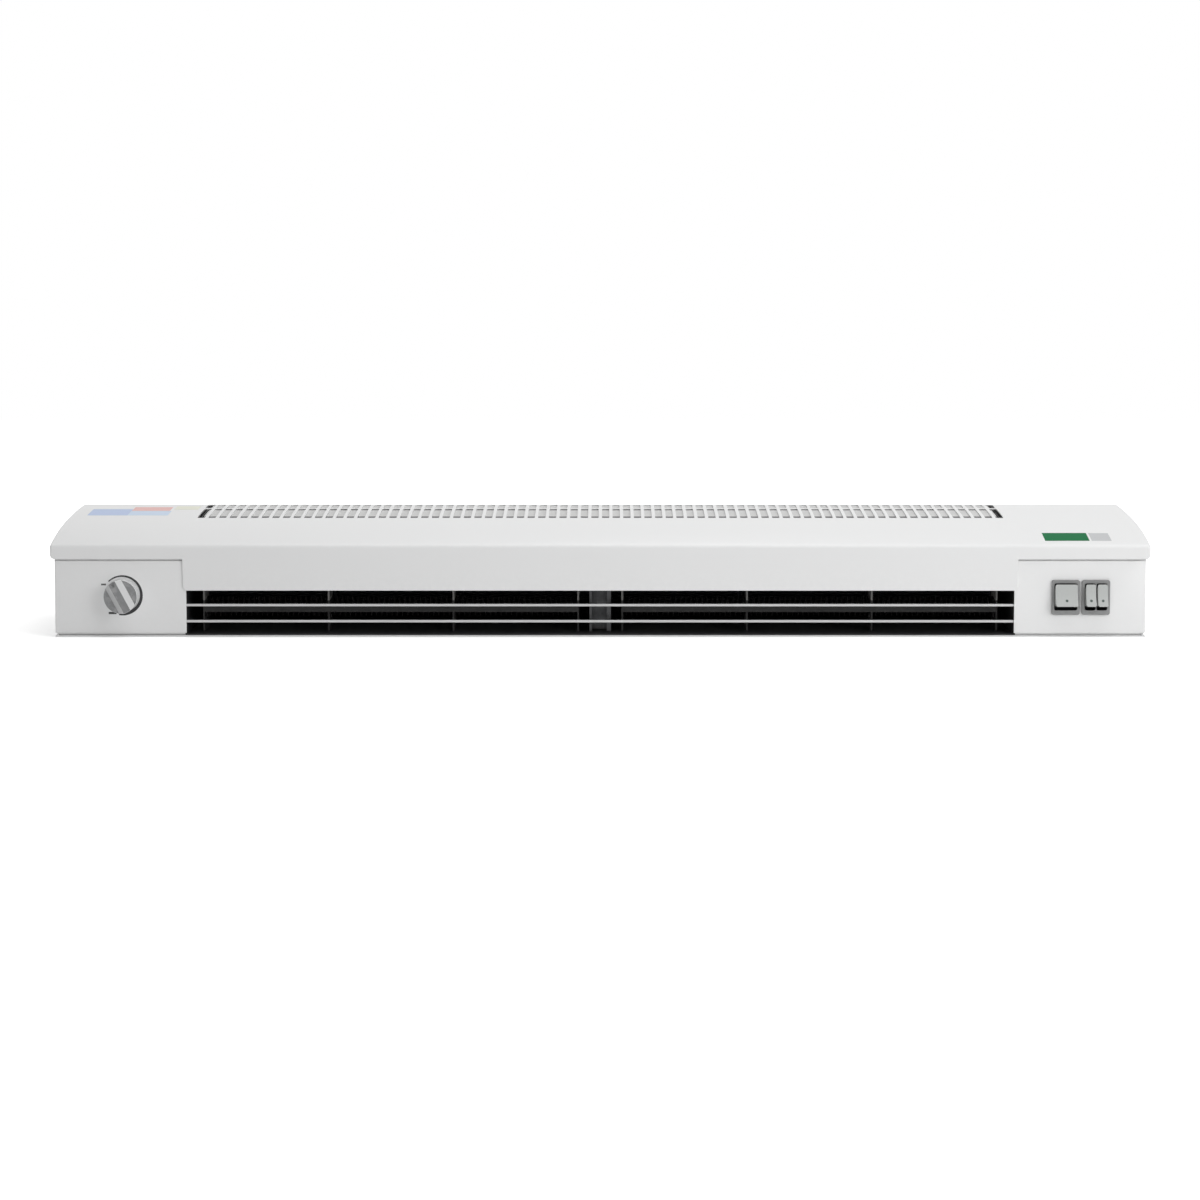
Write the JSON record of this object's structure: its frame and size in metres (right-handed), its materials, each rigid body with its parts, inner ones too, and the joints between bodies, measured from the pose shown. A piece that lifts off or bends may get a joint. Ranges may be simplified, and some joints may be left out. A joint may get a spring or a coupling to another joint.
{
  "type": "air curtain",
  "caption": "Wall air curtain with heater: slotted curved cover, long outlet with two blades, rotary knob and rocker switches",
  "frame": {"origin": "middle of the back plate's underside, halfway between the cover's front and rear", "axes": "+X along the unit, to the right as seen from the outlet; +Y from the outlet side to the rear side, up when it hangs on a wall; +Z away from the wall"},
  "size_m": [1, 0.1842, 0.106],
  "materials": {
    "white_paint": "satin powder coat",
    "blade_paint": "satin grey-white paint",
    "galvanised": "galvanised sheet",
    "dark_sheet": "matt black sheet",
    "aluminium": "mill finish",
    "steel": "bright zinc plate",
    "brass": "turned brass",
    "mica": "pressed mica board",
    "heating_alloy": "oxidised resistance ribbon",
    "silver_plastic": "silver-grey moulded plastic",
    "switch_grey": "grey moulded plastic",
    "rocker_grey": "pale grey satin plastic",
    "black_plastic": "black moulded plastic",
    "white_plastic": "white moulded plastic",
    "rubber": "black rubber",
    "motor_steel": "dark lacquered steel",
    "copper": "drawn copper"
  },
  "bodies": {
    "casing": {"back_plate": "white_paint", "front_cover": "white_paint", "left_end_box": "white_paint", "right_end_box": "white_paint", "left_bulkhead": "dark_sheet", "right_bulkhead": "dark_sheet", "scroll": "dark_sheet", "stabiliser": "dark_sheet", "centre_bracket": "galvanised", "upper_blade": "blade_paint", "lower_blade": "blade_paint", "heater_frame_left": "mica", "heater_frame_right": "mica", "heater_element_left": "heating_alloy", "heater_element_right": "heating_alloy", "thermal_cutout_left": "black_plastic", "thermal_cutout_right": "black_plastic", "middle_bearing": "brass", "end_bearing": "brass", "end_bearing_ring": "rubber", "motor_can": "motor_steel", "motor_end_cap": "aluminium", "motor_ring": "rubber", "motor_bracket": "galvanised", "thermostat": "black_plastic", "thermostat_nut": "brass", "sensing_bulb": "copper", "single_switch": "switch_grey", "double_switch": "switch_grey", "terminal_block": "white_plastic", "power_relay": "black_plastic", "motor_capacitor": "white_plastic", "cable_gland": "black_plastic", "gland_nut": "black_plastic", "earth_stud": "brass", "wiring_loom": "rubber", "cover_screw_1": "steel", "cover_screw_2": "steel", "cover_screw_3": "steel", "cover_screw_4": "steel", "box_screw_left_front": "steel", "box_screw_left_rear": "steel", "box_screw_right_front": "steel", "box_screw_right_rear": "steel"},
    "fan": {"rotor_left": "aluminium", "rotor_right": "aluminium", "drive_shaft": "steel", "middle_shaft": "steel", "end_shaft": "steel", "motor_coupling": "rubber"},
    "knob": {"knob": "silver_plastic", "thermostat_spindle": "steel"},
    "single_rocker": {"single_rocker": "rocker_grey"},
    "double_rocker_left": {"double_rocker_left": "rocker_grey"},
    "double_rocker_right": {"double_rocker_right": "rocker_grey"}
  },
  "joints": [
    {"name": "fan_spin", "type": "hinge", "parent": "casing", "child": "fan", "pos_m": [0, 0.024, 0.052], "axis": [1, 0, 0], "continuous": true},
    {"name": "knob_turn", "type": "hinge", "parent": "casing", "child": "knob", "pos_m": [-0.4344, -0.0812, 0.0382], "axis": [0, 1, 0], "range_deg": [-30, 240]},
    {"name": "single_switch_press", "type": "hinge", "parent": "casing", "child": "single_rocker", "pos_m": [0.423, -0.0807, 0.0366], "axis": [1, 0, 0], "range_deg": [0, 30]},
    {"name": "left_switch_press", "type": "hinge", "parent": "casing", "child": "double_rocker_left", "pos_m": [0.4451, -0.0807, 0.0366], "axis": [1, 0, 0], "range_deg": [0, 30]},
    {"name": "right_switch_press", "type": "hinge", "parent": "casing", "child": "double_rocker_right", "pos_m": [0.4557, -0.0807, 0.0366], "axis": [1, 0, 0], "range_deg": [0, 30]}
  ]
}
